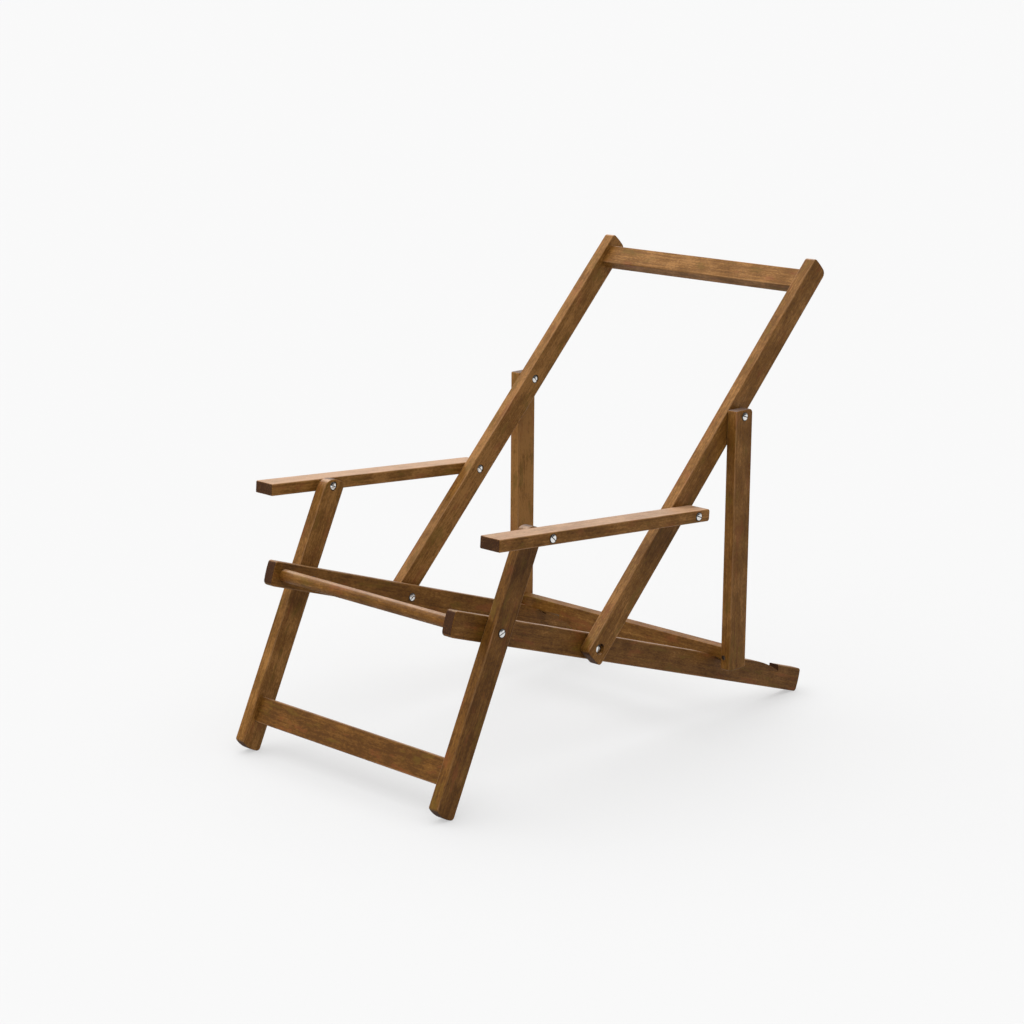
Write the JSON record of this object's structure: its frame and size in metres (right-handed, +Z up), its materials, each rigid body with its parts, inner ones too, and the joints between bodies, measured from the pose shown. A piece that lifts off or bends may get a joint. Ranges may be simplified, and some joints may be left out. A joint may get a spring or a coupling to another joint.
{
  "type": "folding deck chair",
  "caption": "Folding wooden deck chair frame with armrests, a reclining back on a notched support, and a front dowel and top rail for a sling.",
  "frame": {"origin": "on the floor, at the middle of the footprint", "axes": "+Z up, -Y towards the front of the chair, +X to the sitter's left"},
  "size_m": [0.6384, 1.04, 0.8694],
  "materials": {
    "seat_rail_wood": "satin oiled",
    "dowel_wood": "satin oiled",
    "leg_wood": "satin oiled",
    "back_wood": "satin oiled",
    "armrest_wood": "satin oiled",
    "support_wood": "satin oiled",
    "screw_metal": "polished",
    "washer_metal": "dull"
  },
  "bodies": {
    "seat_frame": {"seat_rail_left": "seat_rail_wood", "seat_rail_right": "seat_rail_wood", "front_dowel": "dowel_wood", "rail_leg_screws": "screw_metal", "rail_leg_sleeve_nuts": "screw_metal", "rail_leg_washers": "washer_metal", "rail_stile_screws": "screw_metal", "rail_stile_sleeve_nuts": "screw_metal", "rail_stile_washers": "washer_metal"},
    "front_leg_frame": {"front_leg_left": "leg_wood", "front_leg_right": "leg_wood", "leg_stretcher": "leg_wood", "leg_arm_sleeve_nuts": "screw_metal"},
    "back_frame": {"back_stile_left": "back_wood", "back_stile_right": "back_wood", "top_rail": "back_wood", "arm_stile_screws": "screw_metal", "arm_stile_sleeve_nuts": "screw_metal", "arm_stile_washers": "washer_metal", "stile_support_screws": "screw_metal", "stile_support_sleeve_nuts": "screw_metal", "stile_support_washers": "washer_metal"},
    "left_armrest": {"armrest_left": "armrest_wood", "leg_arm_screw_left": "screw_metal", "leg_arm_washer_left": "washer_metal"},
    "right_armrest": {"armrest_right": "armrest_wood", "leg_arm_screw_right": "screw_metal", "leg_arm_washer_right": "washer_metal"},
    "support_frame": {"support_post_left": "support_wood", "support_post_right": "support_wood", "support_crossbar": "support_wood", "support_lock_screws": "screw_metal"}
  },
  "joints": [
    {"name": "back_fold", "type": "hinge", "parent": "seat_frame", "child": "back_frame", "pos_m": [0, -0.11171, 0.22505], "axis": [1, 0, 0], "range_deg": [-63.86, 10.95]},
    {"name": "leg_fold", "type": "hinge", "parent": "seat_frame", "child": "front_leg_frame", "pos_m": [0, -0.36421, 0.3087], "axis": [1, 0, 0], "range_deg": [-83.05, 14.26]},
    {"name": "left_armrest_fold", "type": "hinge", "parent": "back_frame", "child": "left_armrest", "pos_m": [0, 0.10056, 0.44128], "axis": [1, 0, 0], "range_deg": [-8.59, 50]},
    {"name": "right_armrest_fold", "type": "hinge", "parent": "back_frame", "child": "right_armrest", "pos_m": [0, 0.10056, 0.44128], "axis": [1, 0, 0], "range_deg": [-8.59, 50]},
    {"name": "support_fold", "type": "hinge", "parent": "back_frame", "child": "support_frame", "pos_m": [0, 0.25748, 0.60113], "axis": [1, 0, 0], "range_deg": [-32.94, 5.67]}
  ],
  "couplings": [
    {"joint": "leg_fold", "follows": "back_fold", "ratio": 1.3001},
    {"joint": "left_armrest_fold", "follows": "back_fold", "ratio": -0.78259},
    {"joint": "right_armrest_fold", "follows": "back_fold", "ratio": -0.78259},
    {"joint": "support_fold", "follows": "back_fold", "ratio": 0.5155}
  ]
}
